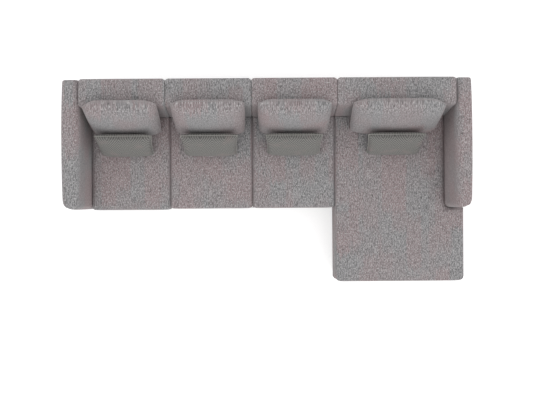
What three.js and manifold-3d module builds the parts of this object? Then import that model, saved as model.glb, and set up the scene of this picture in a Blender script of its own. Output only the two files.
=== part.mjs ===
// Modular corner sofa: an end unit with an arm, two armless units and a chaise unit with an arm.
// Each unit is built up from a sprung seat base, a bolt-on back and, at the two ends, a bolt-on arm,
// every one of them a wooden frame inside its own upholstery. A loose cushion leans on each back and
// a lumbar pillow leans on each cushion.
// Millimetres, +Z up, +Y towards the back. The origin is on the floor under the middle of the outline.

import * as THREE from "three";
import { mergeVertices } from "three/addons/utils/BufferGeometryUtils.js";
import Module from "manifold-3d";

const wasm = await Module();
wasm.setup();

// Plan
const armWidth = 170; // at seat level
const endSeatWidth = 650;
const innerSeatWidth = 675;
const chaiseSeatWidth = 890;
const unitDepth = 1026; // back of the sofa to the front of the seats
const chaiseDepth = 1630;
const backDepth = 284; // thickness of a back at seat level
const armEndInset = 5; // the arm stops this short of the unit's front and back

// Heights, from the floor up
const legHeight = 118;
const railHeight = 140;
const seatThickness = 175;
const backRise = 295; // top of a back above the seat
const armRise = 290; // top of an arm above the seat

// The faces that a sitter touches lean away from the seat
const backLean = 58; // over the height of the back above the seat
const armLean = 32; // over the height of the arm above the seat

// Clearances
const fit = 0.3; // between faces that rest on each other
const unitGap = 3; // between two upholstered faces side by side
const studClearance = 0.3; // round a stud or bolt in its hole
const overrun = 5; // how far a cutting tool passes its target

// Padding
const seatEdge = { x: 20, y: 34, top: 34, bottom: 14 };
const backEdge = { x: 20, y: 34, top: 34, bottom: 0 };
const armEdge = { x: 38, y: 46, top: 38, bottom: 0 };
const edgeFacets = 2; // facets on each half of a rounded edge

// Seat bases
const coverThickness = 9; // fabric and wadding round a base
const coverCorner = 22;
const railThickness = 28;
const windowPitch = 345; // cross rails stand no further apart than this
const cornerBlock = 75; // legs of the glued triangular blocks
const strapWidth = 60;
const strapThickness = 2;
const strapBite = 0.5; // how far crossing straps press into each other
const strapPitch = 130; // widest spacing of the straps
const strapLanding = 16; // length of strap stapled on a rail
const sheetThickness = 1.5; // dust sheet under a unit
const sheetInset = 8;

// Frames in the backs and arms
const backFrame = {
  depth: 60,
  post: 55,
  rail: 60,
  rungs: 1,
  rearPadding: 42,
  sidePadding: 45,
  topPadding: 48,
};
const armFrame = {
  depth: 50,
  post: 60,
  rail: 60,
  rungs: 1,
  rearPadding: 40,
  sidePadding: 48,
  topPadding: 48,
};

// Legs, their studs and the plates that join two units
const leg = { footRadius: 14, topRadius: 22, glideRadius: 12, glideHeight: 5, studRadius: 4, studLength: 48 };
const legInset = 55; // leg centre in from the edges of a base
const legSides = 10;
const plate = {
  length: 96,
  width: 36,
  thickness: 4,
  boltRadius: 4,
  boltLength: 40,
  headRadius: 7.5,
  headHeight: 5,
};
const plateSetback = 330; // plate centre behind the front of the seats
const holeSides = 8;

// Loose cushions: a front and a back panel sewn together round a padded edge
const cushion = {
  width: 566,
  height: 478,
  frontFill: 84,
  rearFill: 42,
  band: 5,
  tilt: THREE.MathUtils.degToRad(27.5),
  fillPower: 0.9,
  bottomHeavyShare: 0.1,
  topCornerShare: 0.1,
  waistShare: 0.02,
};
const chaiseCushionWidth = 712;
const pillow = {
  width: 458,
  height: 282,
  frontFill: 70,
  rearFill: 84,
  band: 4,
  tilt: THREE.MathUtils.degToRad(27),
  fillPower: 0.75,
  bottomHeavyShare: 0.12,
  topCornerShare: 0,
  waistShare: 0.035,
};
const chaiseCushionShift = 27; // the chaise cushions sit nearer the arm
const leanGap = 0.3; // between a leaning cushion and what it leans on
const cushionColumns = 8;
const cushionRows = 8;

// Levels that follow from the sizes above
const sheetBottom = legHeight + fit;
const baseBottom = sheetBottom + sheetThickness + fit;
const railTop = baseBottom + railHeight;
const strapStack = 2 * strapThickness - strapBite;
const baseTop = railTop + fit + strapStack;
const seatBottom = baseTop + fit;
const seatTop = seatBottom + seatThickness;
const backTop = seatTop + backRise;
const armTop = seatTop + armRise;
const backSlope = backLean / backRise;
const armSlope = armLean / armRise;

// Places in plan that follow from the sizes above
const seatsWidth = endSeatWidth + 2 * innerSeatWidth + chaiseSeatWidth;
const halfWidth = seatsWidth / 2 + armWidth;
const rearY = chaiseDepth / 2;
const frontY = rearY - unitDepth;
const chaiseFrontY = rearY - chaiseDepth;
const backFrontY = rearY - backDepth;
const armFrontY = frontY + armEndInset;
const armRearY = rearY - armEndInset;
const armFrameX = halfWidth - armFrame.rearPadding - armFrame.depth / 2;
const backFrameY = rearY - backFrame.rearPadding - backFrame.depth / 2;

// The four units, from left to right. `left` and `right` bound the seat and `outer` the whole unit.
function planUnits() {
  let edge = armWidth - halfWidth;
  const plan = (name, seatWidth, armSide, front) => {
    const left = edge + unitGap / 2;
    edge += seatWidth;
    const right = edge - unitGap / 2;
    const outerLeft = armSide < 0 ? -halfWidth : left;
    const outerRight = armSide > 0 ? halfWidth : right;
    return { name, left, right, outerLeft, outerRight, armSide, front, rear: backFrontY - unitGap };
  };
  return [
    plan("left", endSeatWidth, -1, frontY),
    plan("inner_left", innerSeatWidth, 0, frontY),
    plan("inner_right", innerSeatWidth, 0, frontY),
    plan("chaise", chaiseSeatWidth, 1, chaiseFrontY),
  ];
}

const units = planUnits();
const chaise = units.find((unit) => unit.front < frontY);
const notchY = armFrontY - unitGap; // the chaise seat widens in front of this line

function material(color, roughness, metalness = 0) {
  return new THREE.MeshStandardMaterial({ color, roughness, metalness });
}

const upholstery = material("#8e898a", 0.95);
const pillowFabric = material("#7c7d7a", 0.95);
const wood = material("#c8a878", 0.7);
const webbing = material("#4a4844", 0.9);
const dustCloth = material("#232325", 0.95);
const legFinish = material("#1f1e1d", 0.45, 0.1);
const steel = material("#9b9ea1", 0.4, 0.9);

// Booleans: a geometry becomes a solid once its shared vertices are merged
function solidOf(geometry) {
  const bare = geometry.clone();
  bare.deleteAttribute("normal");
  bare.deleteAttribute("uv");
  const merged = mergeVertices(bare);
  const vertProperties = merged.attributes.position.array;
  const triVerts = new Uint32Array(merged.index.array);
  return new wasm.Manifold(new wasm.Mesh({ numProp: 3, vertProperties, triVerts }));
}

function geometryOf(solid) {
  const { numProp, vertProperties, triVerts } = solid.getMesh();
  const positions = new THREE.InterleavedBuffer(vertProperties, numProp);
  const geometry = new THREE.BufferGeometry();
  geometry.setAttribute("position", new THREE.InterleavedBufferAttribute(positions, 3, 0));
  geometry.setIndex(new THREE.BufferAttribute(triVerts, 1));
  return geometry.toNonIndexed();
}

function join(...geometries) {
  return geometryOf(geometries.map(solidOf).reduce((whole, piece) => whole.add(piece)));
}

function cut(geometry, ...tools) {
  return geometryOf(tools.map(solidOf).reduce((rest, tool) => rest.subtract(tool), solidOf(geometry)));
}

// A box between two corners
function boxBetween(low, high) {
  const size = high.map((value, i) => value - low[i]);
  const middle = high.map((value, i) => (value + low[i]) / 2);
  return new THREE.BoxGeometry(...size).translate(...middle);
}

function uprightCylinder(radius, low, high, sides, x, y) {
  const geometry = new THREE.CylinderGeometry(radius, radius, high - low, sides);
  return geometry.rotateX(Math.PI / 2).translate(x, y, (low + high) / 2);
}

// Grid lines across a padded block: close together where an edge is rounded, none where it is flat
function gridLines(low, high, lowEdge, highEdge, between = []) {
  const angles = Array.from({ length: edgeFacets }, (_, i) => (Math.PI / 4) * ((i + 1) / edgeFacets));
  const steps = angles.map((angle) => Math.tan(angle));
  const lowLines = lowEdge ? steps.map((step) => low + lowEdge * (1 - step)).reverse() : [];
  const highLines = highEdge ? steps.map((step) => high - highEdge * (1 - step)) : [];
  return [...lowLines, low + lowEdge, ...between, high - highEdge, ...highLines];
}

// A padded block between two corners. Its edges are rounded by quarter ellipses that reach `edge.x`,
// `edge.y`, `edge.top` and `edge.bottom` in from the faces; `level` adds one grid line at that height.
function paddedBlock(low, high, edge, level) {
  const lowEdge = [edge.x, edge.y, edge.bottom];
  const highEdge = [edge.x, edge.y, edge.top];
  const between = [[], [], level ? [level] : []];
  const lines = low.map((value, i) => gridLines(value, high[i], lowEdge[i], highEdge[i], between[i]));
  const geometry = new THREE.BoxGeometry(1, 1, 1, ...lines.map((line) => line.length - 1));
  const position = geometry.attributes.position;
  const coreLow = low.map((value, a) => value + lowEdge[a]);
  const coreHigh = high.map((value, a) => value - highEdge[a]);
  for (let i = 0; i < position.count; i++) {
    const place = lines.map((line, a) => {
      const share = position.getComponent(i, a) + 1 / 2;
      return line[Math.round(share * (line.length - 1))];
    });
    const core = place.map((value, a) => THREE.MathUtils.clamp(value, coreLow[a], coreHigh[a]));
    const reach = place.map((value, a) => (value < core[a] ? lowEdge[a] : highEdge[a]));
    const out = new THREE.Vector3(...place.map((value, a) => (reach[a] ? (value - core[a]) / reach[a] : 0)));
    const share = Math.max(...out.toArray().map(Math.abs));
    out.setLength(share);
    out.toArray().forEach((value, a) => position.setComponent(i, a, core[a] + value * reach[a]));
  }
  return geometry;
}

// Leans one face of a block: above `level` the face at `at` moves along the axis by `slope` for each
// millimetre of height, and the face at `fixed` stays where it is.
function leanFace(geometry, axis, at, fixed, slope, level) {
  const position = geometry.attributes.position;
  for (let i = 0; i < position.count; i++) {
    const value = position.getComponent(i, axis);
    const rise = Math.max(0, position.getZ(i) - level);
    position.setComponent(i, axis, value + (slope * rise * (value - fixed)) / (at - fixed));
  }
  return geometry;
}

// A closed outline through corner points, each rounded by `radius`, or chamfered if it isn't `smooth`
function outline(points, radius = 0, path = new THREE.Shape(), smooth = true) {
  const corners = points.map(([x, y]) => new THREE.Vector2(x, y));
  corners.forEach((corner, i) => {
    const before = corners.at(i - 1);
    const after = corners[(i + 1) % corners.length];
    const start = corner.clone().add(before.clone().sub(corner).setLength(radius));
    const end = corner.clone().add(after.clone().sub(corner).setLength(radius));
    path[i ? "lineTo" : "moveTo"](start.x, start.y);
    if (!radius) return;
    if (smooth) path.quadraticCurveTo(corner.x, corner.y, end.x, end.y);
    else path.lineTo(end.x, end.y);
  });
  path.closePath();
  return path;
}

function rectangle(left, front, right, rear) {
  return [
    [left, front],
    [right, front],
    [right, rear],
    [left, rear],
  ];
}

function circle(x, y, radius) {
  return new THREE.Path().absarc(x, y, radius, 0, 2 * Math.PI);
}

function extrude(shape, low, high, curveSegments = 3) {
  const depth = high - low;
  const geometry = new THREE.ExtrudeGeometry(shape, { depth, bevelEnabled: false, curveSegments });
  return geometry.translate(0, 0, low);
}

// The plan of a seat base, `inset` in from its faces. The chaise is as wide as the whole unit in
// front of its arm.
function basePlan(unit, inset) {
  const left = unit.left + inset;
  const right = unit.right - inset;
  const front = unit.front + inset;
  const rear = unit.rear - inset;
  if (unit !== chaise) return rectangle(left, front, right, rear);
  const outer = unit.outerRight - inset;
  return [
    [left, front],
    [outer, front],
    [outer, notchY - inset],
    [right, notchY - inset],
    [right, rear],
    [left, rear],
  ];
}

// The openings between the rails of a base frame, as [left, front, right, rear]: evenly spaced cross
// rails divide the frame between its outer rails. The chaise has a rail along its notch too.
function railWindows(unit) {
  const inset = coverThickness + fit + railThickness;
  const divide = (right, front, rear) => {
    const count = Math.ceil((rear - front) / windowPitch);
    const depth = (rear - front - (count - 1) * railThickness) / count;
    return Array.from({ length: count }, (_, i) => {
      const low = front + i * (depth + railThickness);
      return [unit.left + inset, low, right - inset, low + depth];
    });
  };
  if (unit !== chaise) return divide(unit.right, unit.front + inset, unit.rear - inset);
  const notchRail = notchY - inset;
  return [
    ...divide(unit.right, notchRail + railThickness, unit.rear - inset),
    ...divide(unit.outerRight, unit.front + inset, notchRail),
  ];
}

// Where the legs stand: under the corner blocks of the bases, under the bottom rails of the backs
// and, at the ends, under the bottom rails of the arms
function legPlaces(unit) {
  const inLeft = unit.left + legInset;
  const inRight = unit.right - legInset;
  const inFront = unit.front + legInset;
  const armX = unit.armSide * armFrameX;
  const armFrontLeg = { name: "arm_front", x: armX, y: armFrontY + legInset + legInset / 2, under: "arm" };
  const armRearLeg = { name: "arm_rear", x: armX, y: armRearY - legInset - legInset / 2, under: "arm" };
  const frontLeft = { name: "front_left", x: inLeft, y: inFront, under: "base" };
  const frontRight = { name: "front_right", x: inRight, y: inFront, under: "base" };
  const rearLeft = { name: "rear_left", x: inLeft + legInset / 2, y: backFrameY, under: "back" };
  const rearRight = { name: "rear_right", x: inRight - legInset / 2, y: backFrameY, under: "back" };
  if (unit.armSide < 0) return [armFrontLeg, armRearLeg, frontRight, rearRight];
  if (unit.armSide > 0) {
    const widest = { ...frontRight, x: unit.outerRight - legInset };
    return [frontLeft, widest, armFrontLeg, armRearLeg, rearLeft];
  }
  return [frontLeft, frontRight, rearLeft, rearRight];
}

// Bolts of the joining plates, one in the side rail on each side of a seam
const boltOffset = unitGap / 2 + coverThickness + fit + railThickness / 2;
const plateY = frontY + plateSetback;
const seams = units.slice(1).map((unit) => unit.left - unitGap / 2);

function boltPlaces(unit) {
  const bolts = seams.flatMap((seam) => [seam - boltOffset, seam + boltOffset]);
  return bolts.filter((x) => x > unit.left && x < unit.right).map((x) => ({ x, y: plateY }));
}

// A faceted hole clears a round stud with its flats
const holeScale = 1 / Math.cos(Math.PI / holeSides);
const studHole = (leg.studRadius + studClearance) * holeScale;
const boltHole = (plate.boltRadius + studClearance) * holeScale;

// Wooden ring of rails with cross rails and corner blocks, drilled for the legs and the plates
function baseFrame(unit) {
  const shape = outline(basePlan(unit, coverThickness + fit));
  for (const window of railWindows(unit)) {
    shape.holes.push(outline(rectangle(...window), cornerBlock, new THREE.Path(), false));
  }
  const studs = legPlaces(unit).filter((place) => place.under === "base");
  shape.holes.push(...studs.map(({ x, y }) => circle(x, y, studHole)));
  shape.holes.push(...boltPlaces(unit).map(({ x, y }) => circle(x, y, boltHole)));
  return extrude(shape, baseBottom, railTop, holeSides / 2);
}

// Fabric and wadding wrapped round the frame
function baseCover(unit) {
  const shape = outline(basePlan(unit, 0), coverCorner);
  shape.holes.push(outline(basePlan(unit, coverThickness), 0, new THREE.Path()));
  return extrude(shape, baseBottom, baseTop);
}

// Evenly spaced strap centres across one window, no further apart than the pitch
function strapCentres(low, high) {
  const count = Math.ceil((high - low) / strapPitch);
  return Array.from({ length: count }, (_, i) => low + ((i + 1 / 2) * (high - low)) / count);
}

// Elastic webbing stapled on top of the rails: lengthwise straps below, crosswise straps above
function seatWebbing(unit) {
  const windows = railWindows(unit);
  const low = railTop + fit;
  const crossLow = low + strapThickness - strapBite;
  const crossHigh = crossLow + strapThickness;
  const half = strapWidth / 2;
  const left = windows[0][0];
  const right = windows[0][2];
  const front = Math.min(...windows.map((window) => window[1]));
  const rear = Math.max(...windows.map((window) => window[3]));
  const lengthwise = strapCentres(left, right).map((x) =>
    boxBetween([x - half, front - strapLanding, low], [x + half, rear + strapLanding, low + strapThickness]),
  );
  const crosswise = windows.flatMap(([from, near, to, far]) =>
    strapCentres(near, far).map((y) =>
      boxBetween([from - strapLanding, y - half, crossLow], [to + strapLanding, y + half, crossHigh]),
    ),
  );
  return join(...lengthwise, ...crosswise);
}

// Foam block of the seat in its fitted cover
function seatCushion(unit) {
  const low = [unit.left, unit.front, seatBottom];
  if (unit !== chaise) return paddedBlock(low, [unit.right, unit.rear, seatTop], seatEdge);
  const block = paddedBlock(low, [unit.outerRight, unit.rear, seatTop], seatEdge);
  const beyond = [unit.outerRight + overrun, unit.rear + overrun, seatTop + overrun];
  return cut(block, boxBetween([unit.right, notchY, seatBottom - overrun], beyond));
}

// A ladder of two posts, a rail at each end and rungs between, standing on z = 0 in the XZ plane with
// its middle at y = 0. `grow` makes it larger all round, for the pocket that it stands in.
function ladder(width, height, { depth, post, rail, rungs }, grow = 0) {
  const bottom = grow ? -overrun : 0;
  const half = width / 2;
  const shape = outline(rectangle(-half - grow, bottom, half + grow, height + grow));
  const clear = (height - (rungs + 2) * rail) / (rungs + 1);
  for (let i = 0; i <= rungs; i++) {
    const low = rail + i * (clear + rail);
    const window = rectangle(post - half + grow, low + grow, half - post - grow, low + clear - grow);
    shape.holes.push(outline(window, 0, new THREE.Path()));
  }
  return extrude(shape, -depth / 2 - grow, depth / 2 + grow).rotateX(Math.PI / 2);
}

function studHoles(places) {
  const top = baseBottom + leg.studLength + overrun;
  return places.map(({ x, y }) => uprightCylinder(studHole, baseBottom - overrun, top, holeSides, x, y));
}

function backLadder(unit, grow) {
  const width = unit.right - unit.left - 2 * backFrame.sidePadding;
  const height = backTop - baseBottom - backFrame.topPadding;
  const middle = (unit.left + unit.right) / 2;
  return ladder(width, height, backFrame, grow).translate(middle, backFrameY, baseBottom);
}

function backFrameOf(unit) {
  return cut(backLadder(unit), ...studHoles(legPlaces(unit).filter((place) => place.under === "back")));
}

// Foam and cover of a back, with the pocket for its frame. Beside an arm it follows the arm's lean.
function backCover(unit) {
  const low = [unit.left, backFrontY, baseBottom];
  const high = [unit.right, rearY, backTop];
  const block = paddedBlock(low, high, backEdge, seatTop);
  leanFace(block, 1, backFrontY, rearY, backSlope, seatTop);
  if (unit.armSide < 0) leanFace(block, 0, unit.left, unit.right, -armSlope, seatTop);
  if (unit.armSide > 0) leanFace(block, 0, unit.right, unit.left, armSlope, seatTop);
  return cut(block, backLadder(unit, fit));
}

function armLadder(unit, grow) {
  const width = armRearY - armFrontY - 2 * armFrame.sidePadding;
  const height = armTop - baseBottom - armFrame.topPadding;
  const frame = ladder(width, height, armFrame, grow).rotateZ(Math.PI / 2);
  return frame.translate(unit.armSide * armFrameX, (armFrontY + armRearY) / 2, baseBottom);
}

function armFrameOf(unit) {
  return cut(armLadder(unit), ...studHoles(legPlaces(unit).filter((place) => place.under === "arm")));
}

// Foam and cover of an arm, with the pocket for its frame
function armCover(unit) {
  const inner = halfWidth - armWidth + unitGap / 2;
  const [left, right] = unit.armSide < 0 ? [-halfWidth, -inner] : [inner, halfWidth];
  const block = paddedBlock([left, armFrontY, baseBottom], [right, armRearY, armTop], armEdge, seatTop);
  const side = unit.armSide;
  leanFace(block, 0, side * inner, side * halfWidth, side * armSlope, seatTop);
  return cut(block, armLadder(unit, fit));
}

// Black cloth stapled under the whole unit, with holes for the studs and bolts
function dustSheet(unit) {
  const left = unit.outerLeft + sheetInset;
  const right = unit.outerRight - sheetInset;
  const shape = outline(rectangle(left, unit.front + sheetInset, right, rearY - sheetInset));
  shape.holes.push(...legPlaces(unit).map(({ x, y }) => circle(x, y, studHole)));
  shape.holes.push(...boltPlaces(unit).map(({ x, y }) => circle(x, y, boltHole)));
  return extrude(shape, sheetBottom, sheetBottom + sheetThickness, holeSides / 2);
}

// Turned tapered leg on a plastic glide, with the stud that screws into the frame
function legGeometry() {
  const profile = [
    [0, 0],
    [leg.glideRadius, 0],
    [leg.glideRadius, leg.glideHeight],
    [leg.footRadius, leg.glideHeight],
    [leg.topRadius, legHeight],
    [leg.studRadius, legHeight],
    [leg.studRadius, legHeight + leg.studLength],
    [0, legHeight + leg.studLength],
  ].map(([radius, height]) => new THREE.Vector2(radius, height));
  return new THREE.LatheGeometry(profile, legSides).rotateX(Math.PI / 2);
}

// Steel plate under a seam, with its two hexagon bolts
function joiningPlate() {
  const top = sheetBottom - fit;
  const bottom = top - plate.thickness;
  const round = plate.width / 2;
  const straight = plate.length / 2 - round;
  const shape = new THREE.Shape();
  shape.absarc(straight, 0, round, -Math.PI / 2, Math.PI / 2);
  shape.absarc(-straight, 0, round, Math.PI / 2, (3 * Math.PI) / 2);
  const pieces = [extrude(shape, bottom, top, holeSides / 2)];
  for (const x of [-boltOffset, boltOffset]) {
    const hexagon = 6;
    pieces.push(uprightCylinder(plate.boltRadius, bottom, top + plate.boltLength, holeSides, x, 0));
    pieces.push(uprightCylinder(plate.headRadius, bottom - plate.headHeight, bottom, hexagon, x, 0));
  }
  return join(...pieces);
}

// A point on a cushion's front (side 1) or rear (side -1) panel in the cushion's own plane: x across,
// y up, +z forwards. u and v run from -1 to 1 across and up the panel. The sides pull in by
// `waistShare` between the corners, and the top corners are cut back by `topCornerShare`.
function panelPoint(size, side, u, v) {
  const corner = v > 0 ? size.topCornerShare : 0;
  const x = (size.width / 2) * u * (1 - corner * v ** 4 - size.waistShare * (1 - v ** 2));
  const y = (size.height / 2) * v * (1 - corner * u ** 4 - size.waistShare * (1 - u ** 2));
  const fill = side > 0 ? size.frontFill : size.rearFill;
  const round = ((1 - u ** 4) * (1 - v ** 2)) ** size.fillPower;
  return new THREE.Vector3(x, y, side * (size.band / 2 + fill * round * (1 - size.bottomHeavyShare * v)));
}

// Spreads the grid lines of a panel towards its edges, where it curves most
function spread(share) {
  return Math.sin((Math.PI / 2) * share);
}

// A stuffed cushion tilted back, with its lowest point at z = 0
function stuffedCushion(size) {
  const geometry = new THREE.BoxGeometry(2, 2, 2, cushionColumns, cushionRows, 1);
  const position = geometry.attributes.position;
  for (let i = 0; i < position.count; i++) {
    const point = panelPoint(size, position.getZ(i), spread(position.getX(i)), spread(position.getY(i)));
    position.setXYZ(i, ...point);
  }
  geometry.rotateX(Math.PI / 2 - size.tilt).computeBoundingBox();
  return geometry;
}

// The middle section of one panel of a cushion that stands on the seat, as y and z from low to high
function panelSection(size, side) {
  const stand = seatTop + fit - stuffedCushion(size).boundingBox.min.z;
  return Array.from({ length: cushionRows + 1 }, (_, i) => {
    const point = panelPoint(size, side, 0, spread((2 * i) / cushionRows - 1));
    point.applyAxisAngle(new THREE.Vector3(1, 0, 0), Math.PI / 2 - size.tilt);
    return new THREE.Vector2(point.y, point.z + stand);
  });
}

// The front of a back above the seat, as y and z from low to high
function backSection() {
  const points = [new THREE.Vector2(backFrontY, seatTop)];
  const samples = 8;
  for (let i = 0; i <= samples; i++) {
    const angle = (Math.PI / 2) * (i / samples);
    const y = backFrontY + backEdge.y * (1 - Math.cos(angle));
    const z = backTop - backEdge.top * (1 - Math.sin(angle));
    points.push(new THREE.Vector2(y + (backSlope * (z - seatTop) * (rearY - y)) / backDepth, z));
  }
  return points;
}

// Where a section crosses a height: the y values of every stretch that spans it
function crossings(section, z) {
  const stretches = section.slice(1).map((end, i) => [section[i], end]);
  const spans = ([a, b]) => a.y !== b.y && Math.min(a.y, b.y) <= z && z <= Math.max(a.y, b.y);
  const spanning = stretches.filter(spans);
  return spanning.map(([a, b]) => a.x + ((b.x - a.x) * (z - a.y)) / (b.y - a.y));
}

// How far a section can move back before it lies the gap short of the section behind it
function roomBehind(section, behind) {
  const heights = [...section, ...behind].map((point) => point.y);
  const rooms = heights.map((z) => Math.min(...crossings(behind, z)) - Math.max(...crossings(section, z)));
  return Math.min(...rooms) - leanGap;
}

// A back cushion leans on the top edge of its back, and a pillow leans on its cushion
const cushionY = roomBehind(panelSection(cushion, -1), backSection());
const cushionFront = panelSection(cushion, 1).map((point) => point.setX(point.x + cushionY));
const pillowY = roomBehind(panelSection(pillow, -1), cushionFront);

const sofa = new THREE.Group();

function add(name, geometry, finish, parent = sofa) {
  const mesh = new THREE.Mesh(geometry, finish);
  mesh.name = name;
  parent.add(mesh);
  return mesh;
}

// Stands a cushion on the seat
function addCushion(name, size, x, y, finish) {
  const geometry = stuffedCushion(size);
  add(name, geometry, finish).position.set(x, y, seatTop + fit - geometry.boundingBox.min.z);
}

for (const unit of units) {
  add(`base_frame_${unit.name}`, baseFrame(unit), wood);
  add(`base_cover_${unit.name}`, baseCover(unit), upholstery);
  add(`seat_webbing_${unit.name}`, seatWebbing(unit), webbing);
  add(`seat_cushion_${unit.name}`, seatCushion(unit), upholstery);
  add(`back_frame_${unit.name}`, backFrameOf(unit), wood);
  add(`back_cover_${unit.name}`, backCover(unit), upholstery);
  add(`dust_sheet_${unit.name}`, dustSheet(unit), dustCloth);
  if (unit.armSide) {
    add(`arm_frame_${unit.name}`, armFrameOf(unit), wood);
    add(`arm_cover_${unit.name}`, armCover(unit), upholstery);
  }
  for (const place of legPlaces(unit)) {
    add(`leg_${unit.name}_${place.name}`, legGeometry(), legFinish).position.set(place.x, place.y, 0);
  }
  const x = (unit.left + unit.right) / 2 + (unit === chaise ? chaiseCushionShift : 0);
  const cushionSize = unit === chaise ? { ...cushion, width: chaiseCushionWidth } : cushion;
  addCushion(`back_cushion_${unit.name}`, cushionSize, x, cushionY, upholstery);
  addCushion(`lumbar_pillow_${unit.name}`, pillow, x, pillowY, pillowFabric);
}

seams.forEach((seam, i) => {
  add(`joining_plate_${i + 1}`, joiningPlate(), steel).position.set(seam, plateY, 0);
});

export default sofa;
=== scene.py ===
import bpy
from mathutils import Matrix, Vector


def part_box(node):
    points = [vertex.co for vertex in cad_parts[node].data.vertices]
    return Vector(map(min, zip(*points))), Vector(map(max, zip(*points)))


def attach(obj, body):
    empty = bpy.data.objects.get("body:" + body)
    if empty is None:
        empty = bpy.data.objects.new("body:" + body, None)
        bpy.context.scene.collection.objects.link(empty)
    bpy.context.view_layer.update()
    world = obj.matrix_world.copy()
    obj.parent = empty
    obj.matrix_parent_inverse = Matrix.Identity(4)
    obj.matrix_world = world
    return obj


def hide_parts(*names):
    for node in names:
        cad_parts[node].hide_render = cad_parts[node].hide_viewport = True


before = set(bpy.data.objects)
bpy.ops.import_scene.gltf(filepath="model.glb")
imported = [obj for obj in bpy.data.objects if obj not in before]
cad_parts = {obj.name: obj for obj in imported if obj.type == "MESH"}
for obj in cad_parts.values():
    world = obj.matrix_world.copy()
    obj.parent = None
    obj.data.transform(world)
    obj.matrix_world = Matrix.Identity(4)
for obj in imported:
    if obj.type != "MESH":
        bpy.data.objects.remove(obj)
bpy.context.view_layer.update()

import math

import bmesh
import bpy
import numpy as np
from mathutils import Matrix, Vector
from mathutils.bvhtree import BVHTree

scene = bpy.context.scene
unitNames = ["left", "inner_left", "inner_right", "chaise"]
rootBody = "sofa"


# Selection, by place or normal, the way it is done by hand

def leaveEdit():
    bpy.ops.object.mode_set(mode="OBJECT")


def deselectAll():
    if bpy.context.object and bpy.context.object.mode != "OBJECT":
        leaveEdit()
    bpy.ops.object.select_all(action="DESELECT")


def makeActive(piece):
    deselectAll()
    piece.select_set(True)
    bpy.context.view_layer.objects.active = piece


def choose(piece, kind, test):  # edit mode, with what the test picks selected
    makeActive(piece)
    bpy.ops.object.mode_set(mode="EDIT")
    bpy.ops.mesh.select_mode(type=kind)
    bpy.ops.mesh.select_all(action="DESELECT")
    shape = bmesh.from_edit_mesh(piece.data)
    parts = {"VERT": shape.verts, "EDGE": shape.edges, "FACE": shape.faces}[kind]
    for part in parts:
        if test(part):
            part.select_set(True)
    shape.select_flush_mode()
    bmesh.update_edit_mesh(piece.data)


def middle(part):
    corners = [vertex.co for vertex in part.verts]
    return sum(corners, Vector()) / len(corners)


def applyModifier(piece, kind, **settings):
    makeActive(piece)
    modifier = piece.modifiers.new(kind.lower(), kind)
    for name, value in settings.items():
        setattr(modifier, name, value)
    bpy.ops.object.modifier_apply(modifier=modifier.name)


def points(mesh):
    flat = np.empty(len(mesh.vertices) * 3)
    mesh.vertices.foreach_get("co", flat)
    return flat.reshape(-1, 3)


def setPoints(piece, places):
    piece.data.vertices.foreach_set("co", np.ascontiguousarray(places).ravel())
    piece.data.update()


def addBlock(name, low, high):
    deselectAll()
    bpy.ops.mesh.primitive_cube_add(size=1, location=(low + high) / 2, scale=high - low)
    block = bpy.context.object
    block.name = block.data.name = name
    bpy.ops.object.transform_apply(location=True, rotation=True, scale=True)
    return block


def bevelEdges(piece, test, width, segments):
    choose(piece, "EDGE", test)
    bpy.ops.mesh.bevel(offset=width, segments=segments, profile=0.5, affect="EDGES")
    leaveEdit()


def faceOut(piece):  # turns every face outward
    choose(piece, "FACE", lambda face: True)
    bpy.ops.mesh.normals_make_consistent(inside=False)
    leaveEdit()


def upright(edge):
    a, b = edge.verts
    return abs(a.co.z - b.co.z) > 0.9 * (a.co - b.co).length


def finishPiece(piece, body, material, *nodes, slot="sofa_fabric"):
    makeActive(piece)
    bpy.ops.object.shade_smooth()
    piece.data.materials.clear()
    piece.data.materials.append(material)
    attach(piece, body)
    if nodes:
        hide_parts(*nodes)
    return piece


# Camera, floor and light

viewpoint = {
    "height": 6.510,
    "x": -0.006,
    "y": -0.145,
    "turn": -0.4,
    "lens": 50,
    "sensor": 36,
}
studio = {
    "horizon": 1.26,  # the dome's light low down and overhead
    "zenith": 0.44,
    "key": 0.70,
    "keyAngle": 70,  # a very wide lamp, so that its shadows stay soft
    "keyDirection": (-0.12, 0.48, -0.87),
    "floor": "#F4F4F4",
    "floorWhite": 0.50,
    "floorSize": 60,
}


def addCamera():
    deselectAll()
    bpy.ops.object.camera_add(
        location=(viewpoint["x"], viewpoint["y"], viewpoint["height"]),
        rotation=(0, 0, math.radians(viewpoint["turn"])),
    )
    camera = bpy.context.object
    camera.data.lens = viewpoint["lens"]
    camera.data.sensor_width = viewpoint["sensor"]
    camera.data.clip_end = 200
    scene.camera = camera


def linearColour(code):  # an sRGB hex value as the linear colour that a shader takes
    channels = [int(code[i:i + 2], 16) / 255 for i in (1, 3, 5)]
    return (*[c / 12.92 if c <= 0.04045 else ((c + 0.055) / 1.055) ** 2.4 for c in channels], 1)


def addNode(tree, kind, settings=None, links=None):  # one node, its values and what feeds it
    node = tree.nodes.new(kind)
    for name, value in (settings or {}).items():
        if isinstance(name, str) and hasattr(node, name):
            setattr(node, name, value)
        else:
            node.inputs[name].default_value = value
    for name, source in (links or {}).items():
        tree.links.new(source, node.inputs[name])
    return node


def spread(tree, value, low, high, least, most):  # stretches a range of a value over new limits
    return addNode(tree, "ShaderNodeMapRange",
                   {"From Min": low, "From Max": high, "To Min": least, "To Max": most},
                   {0: value}).outputs[0]


def combine(tree, operation, a, b):  # a sum of two values, each a number or a node's output
    node = addNode(tree, "ShaderNodeMath", {"operation": operation})
    for socket, value in enumerate((a, b)):
        if isinstance(value, (int, float)):
            node.inputs[socket].default_value = value
        else:
            tree.links.new(value, node.inputs[socket])
    return node.outputs[0]


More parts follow.
